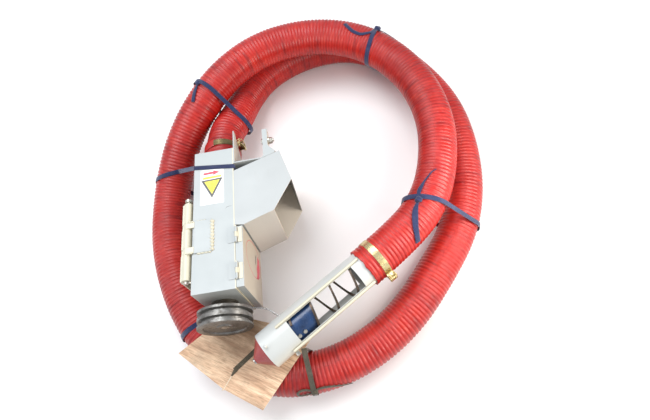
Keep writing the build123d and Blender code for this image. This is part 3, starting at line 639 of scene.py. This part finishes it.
def knot(name, spot, mat, slot, size):
    """An overhand knot: a small lumpy ball, a little longer along the row's X."""
    at, n = spot
    t = (HX - n * HX.dot(n)).normalized()
    w = n.cross(t)
    verts, rows, cols = [], 12, 20
    for i in range(rows + 1):
        for k in range(cols):
            a, b = pi * i / rows, 2 * pi * k / cols
            d = t * cos(a) * 1.25 + (w * cos(b) + n * sin(b)) * sin(a)
            lump = 1 + 0.22 * sin(3 * b + 4 * a) * sin(a) + 0.10 * noise.noise(d * 3)
            verts.append(at + n * (size * 0.35) + Vector(d) * size * lump)
    return piece(name, verts, quads(rows + 1, cols), mat)


def tail(name, spots, tie, thick=0.0018):
    """A loose end lying on the hose, through (metres along, degrees from the top, width) spots."""
    places = [on_hose(s, a, OFF_HOSE + thick / 2) for s, a, w in spots]
    return strip(name, places, [w for s, a, w in spots], *tie, thick)


knot("knot_left_rear", on_hose(4.958, 20), *NAVY_TIE, 0.011)
tail("tail_left_rear", [
    (4.956, 20, 0.008), (4.944, 18, 0.013), (4.925, 13, 0.016), (4.902, 5, 0.017), (4.876, -5, 0.017),
], NAVY_TIE, 0.003)
knot("knot_right_rear", on_hose(5.846, 38), *NAVY_TIE, 0.012)
tail("tail_right_rear", [
    (5.842, 32, 0.008), (5.836, 6, 0.010), (5.821, -5, 0.013), (5.796, -14, 0.014),
    (5.764, -13, 0.015), (5.734, -5, 0.016), (5.707, 10, 0.018),
], NAVY_TIE, 0.0026)
tail("tail_right_short", [
    (5.848, 44, 0.016), (5.868, 58, 0.013), (5.895, 66, 0.008), (5.925, 70, 0.006),
], NAVY_TIE)
knot("knot_right", on_hose(6.790, -16), *NAVY_TIE, 0.0115)
tail("tail_right_up", [
    (6.787, -18, 0.007), (6.766, -25, 0.013), (6.744, -29, 0.018), (6.722, -28, 0.014),
    (6.702, -26, 0.009), (6.676, -20, 0.006), (6.652, -13, 0.005), (6.636, -3, 0.004),
], NAVY_TIE)
tail("tail_right_down", [
    (6.794, -16, 0.008), (6.812, -13, 0.013), (6.832, -8, 0.020), (6.852, 1, 0.024),
    (6.882, 19, 0.023), (6.901, 42, 0.022), (6.911, 62, 0.024),
], NAVY_TIE, 0.0024)
knot("knot_intake", on_hose(3.257, 57), *OLIVE_TIE, 0.010)
tail("loop_intake", [
    (3.257, 57, 0.008), (3.272, 48, 0.009), (3.288, 44, 0.010), (3.304, 46, 0.010), (3.314, 54, 0.009),
    (3.312, 64, 0.008), (3.296, 66, 0.007), (3.278, 63, 0.007), (3.262, 60, 0.006),
], OLIVE_TIE, 0.003)
tail("tail_intake", [
    (3.255, 52, 0.008), (3.236, 49, 0.011), (3.216, 50, 0.012), (3.187, 57, 0.010),
    (3.155, 69, 0.008), (3.128, 82, 0.007),
], OLIVE_TIE)

# The dark end of the nose's tie, lying on the board: x, y, z in millimetres, and the width in metres.
NOSE_END = [
    (-388, -727, 168.6, 0.0165), (-396, -735, 168.8, 0.0135), (-403, -742.5, 168.6, 0.0095),
    (-410, -750, 168.4, 0.005),
]
nose_spots = [(Vector((x, y, z)) / 1000, UP) for x, y, z, w in NOSE_END]
strip("strap_nose_end", nose_spots, [w for x, y, z, w in NOSE_END], *OLIVE_TIE, 0.0014)


# The head's strap: square round the casing, and slanting back over the outer strand.
def run_of(spots, step=0.02):
    """The same (point, normal) spots, with more put in on the long straight runs."""
    out = [spots[0]]
    for (a, n), (b, m) in zip(spots, spots[1:]):
        count = max(1, round((b - a).length / step))
        out += [(a.lerp(b, k / count), n.lerp(m, k / count).normalized()) for k in range(1, count + 1)]
    return out


TOP_LEFT, TOP_RIGHT = (HZ - HX).normalized(), (HZ + HX).normalized()
LOW_LEFT, LOW_RIGHT = -TOP_RIGHT, -TOP_LEFT
OVER_HOSE = [
    (4.556, -36), (4.545, -18), (4.532, 0), (4.518, 18), (4.508, 36), (4.500, 56),
    (4.494, 76), (4.490, 100), (4.488, 124), (4.487, 148), (4.487, 166),
]
head_strap = [
    (head(88.8, 524, 0), HX), (head(88.8, 524, 132), HX), (head(86.8, 524.5, 137.6), TOP_RIGHT),
    (head(83, 525, 138.0), HZ), (head(-77, 547, 138.0), HZ), (head(-81.6, 547.6, 137.2), TOP_LEFT),
]
head_strap += [on_hose(s, a, 0.0023) for s, a in OVER_HOSE]
head_strap += [
    (head(-82.2, 541, -137.0), LOW_LEFT), (head(-78, 541, -138.2), -HZ), (head(83, 524, -138.2), -HZ),
    (head(87.6, 524, -137.4), LOW_RIGHT), (head(88.8, 524, -132), HX), (head(89.2, 524, 3), HX),
]
strap_spots = run_of(head_strap)
strap = strip("strap_head_slanted", strap_spots, [0.020] * len(strap_spots), *NAVY_TIE, 0.0013)
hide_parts("strap_head")


# ---- clamps: wire loops, the hose's fold, the twisted wire ---------------------------------------
def clamp_frame(origin, along_dir, toward):
    """Millimetres toward the clamp's bolt, across it and along the hose, to metres."""
    x = Vector(toward).normalized()
    z = Vector(along_dir).normalized()
    y = z.cross(x)
    return lambda a, b, c: origin + (x * a + y * b + z * c) / 1000


HEAD_CLAMP = clamp_frame(head(0, 714, 0), HY, HX * cos(radians(16)) + HZ * sin(radians(16)))
INTAKE_CLAMP = clamp_frame(intake(530, 0, 0), REACH, -LEFT * cos(radians(8)) + UP * sin(radians(8)))
CLAMP_LOOP = [
    (85, -30, 10), (104, -33, 11), (112, -20, 11), (109, 4, 9), (99, 30, 4), (98, 33, 0),
    (99, 30, -4), (109, 4, -9), (112, -20, -11), (104, -33, -11), (85, -30, -10),
]
for name, place in (("head_clamp_loop", HEAD_CLAMP), ("intake_clamp_loop", INTAKE_CLAMP)):
    loop = through([place(*q) for q in CLAMP_LOOP], 7)
    tube(name, loop, 0.0022, ZINC, sides=10, first_side=(0.2, 0.3, 1))

# A fold of the hose that laps over part of the head's clamp: radius and place along, in millimetres.
FOLD = [(81.0, 2), (83.4, 5), (84.6, 14), (84.9, 24), (84.4, 33), (83.2, 39), (81.0, 41)]
FOLD_FOOT = FOLD[0][0]
FOLD_STEPS = 48
fold_verts = []
for i in range(FOLD_STEPS + 1):
    a = radians(102 + 150 * i / FOLD_STEPS)
    fade = 1 - 0.9 * max(0, 1 - i / 5) ** 2
    for r, y in FOLD:
        rag = 1.6 * noise.noise(Vector((a * 3, y * 0.09, 0.5)))
        reach = FOLD_FOOT + (r - FOLD_FOOT) * fade + rag * 0.4
        fold_verts.append(head(cos(a) * reach, 693.5 + y + rag * 2, sin(a) * reach))
piece("hose_fold", fold_verts, quads(FOLD_STEPS + 1, len(FOLD), closed=False), HOSE)

WIRE_ROUTE = [(-345, -514, 232), (-300, -516, 214), (-240, -527, 205), (-204, -562, 196)]
WIRE_STEP, WIRE_LAY, STRANDS = 0.0025, 0.052, 3
wire_ends = [Vector(q) / 1000 for q in WIRE_ROUTE] + [intake(119, 53.4, -53.4)]
wire_line = even(smooth_line(wire_ends), WIRE_STEP)
for k in range(STRANDS):
    strand = []
    for i, (q, t, u, w) in enumerate(frames_along(wire_line, (0.1, 0.3, 1))):
        a = 2 * pi * (k / STRANDS + i * WIRE_STEP / WIRE_LAY)
        off = 0.0021 + 0.0013 * sin(i * 0.21 + k)
        strand.append(q + (u * cos(a) + w * sin(a)) * off)
    tube(f"wire_strand_{k}", strand, 0.0013, WIRE, sides=8)
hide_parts("wire_tie")

# ---- floor, light, camera ------------------------------------------------------------------------
bpy.ops.mesh.primitive_plane_add(size=14, location=(0, 0, 0))
floor = bpy.context.object
floor.name = "floor"
mat, nt, b = new_mat("floor_pale", rough=0.9, spec=0.1)
b.inputs["Base Color"].default_value = (0.93, 0.93, 0.93, 1)
floor.data.materials.append(mat)

world = bpy.data.worlds.new("studio")
bpy.context.scene.world = world
world.use_nodes = True
world.node_tree.nodes["Background"].inputs["Color"].default_value = (0.93, 0.96, 1.0, 1)
world.node_tree.nodes["Background"].inputs["Strength"].default_value = 0.60


def area(name, at, toward, size, power, color=(1, 1, 1)):
    light = bpy.data.lights.new(name, "AREA")
    light.energy = power
    light.size = size
    light.color = color
    obj = bpy.data.objects.new(name, light)
    obj.location = at
    obj.rotation_euler = (Vector(toward) - Vector(at)).to_track_quat("-Z", "Y").to_euler()
    bpy.context.scene.collection.objects.link(obj)


area("sky", (-1.0, 1.1, 3.0), (0, 0, 0), 2.2, 78, (0.96, 0.98, 1.0))
area("key", (2.8, -1.5, 1.5), (-0.2, -0.2, 0.2), 1.5, 62, (1.0, 0.95, 0.88))
area("left", (-2.8, -0.8, 2.2), (0, 0, 0.1), 2.0, 22)
area("fill", (0.75, -0.35, 0.72), (-0.13, -0.15, 0.22), 0.5, 5.5, (1.0, 0.95, 0.88))

bpy.context.scene.view_settings.view_transform = "Standard"

CAMERA_AT = (0.1065, -0.84, 1.852)
CAMERA_RIGHT = Vector((0.9855, -0.1375, -0.0995))
CAMERA_UP = Vector((0.165, 0.9138, 0.3711))
CAMERA_BACK = Vector((0.0399, -0.3821, 0.9233))
camera = bpy.data.cameras.new("camera")
camera.lens = 23.566
camera.sensor_width = 36
view = bpy.data.objects.new("camera", camera)
view_axes = Matrix((CAMERA_RIGHT, CAMERA_UP, CAMERA_BACK)).transposed().to_4x4()
view.matrix_world = Matrix.Translation(CAMERA_AT) @ view_axes
bpy.context.scene.collection.objects.link(view)
bpy.context.scene.camera = view
